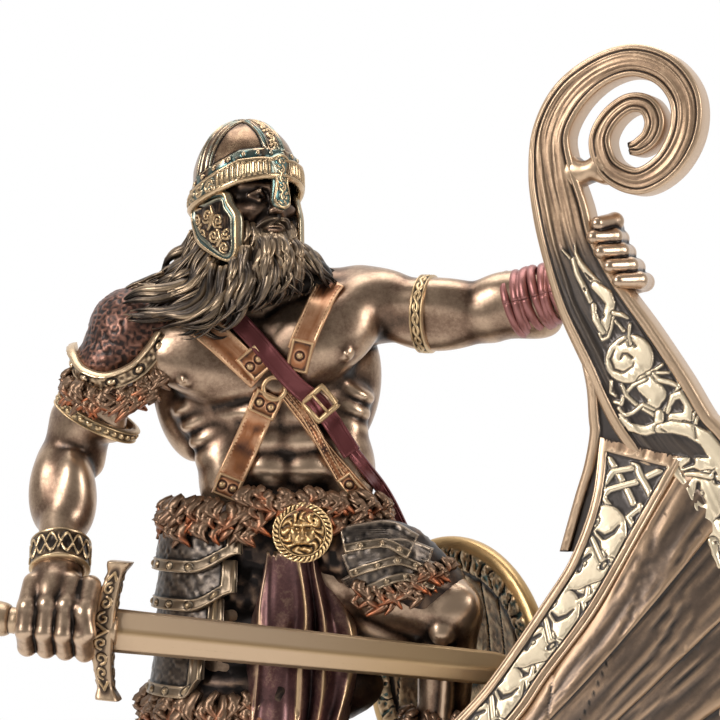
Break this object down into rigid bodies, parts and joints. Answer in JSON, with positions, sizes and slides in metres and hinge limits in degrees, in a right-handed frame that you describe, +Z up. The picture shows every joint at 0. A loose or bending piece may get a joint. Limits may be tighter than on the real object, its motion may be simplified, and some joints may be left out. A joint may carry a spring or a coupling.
{
  "type": "viking warrior statue",
  "caption": "Bronze statue of a bearded viking warrior standing in the bow of a longship, one hand on the curled stem, the other holding a sword.",
  "frame": {"origin": "centre of the sea base's underside", "axes": "+Z up, +Y away from the viewer who faces the warrior's chest, +X to that viewer's right, towards the stem"},
  "size_m": [0.2407, 0.1631, 0.3089],
  "materials": {
    "bronze": "cold-cast bronze resin, dark patina with rubbed highlights",
    "ship_bronze": "cold-cast bronze resin, dark recesses and pale rubbed relief",
    "blade_bronze": "satin bronze resin",
    "shield_bronze": "dark bronze resin with a rubbed rim"
  },
  "bodies": {
    "root": {"warrior": "bronze", "longship_bow": "ship_bronze", "sword": "blade_bronze", "shield": "shield_bronze"}
  },
  "joints": []
}
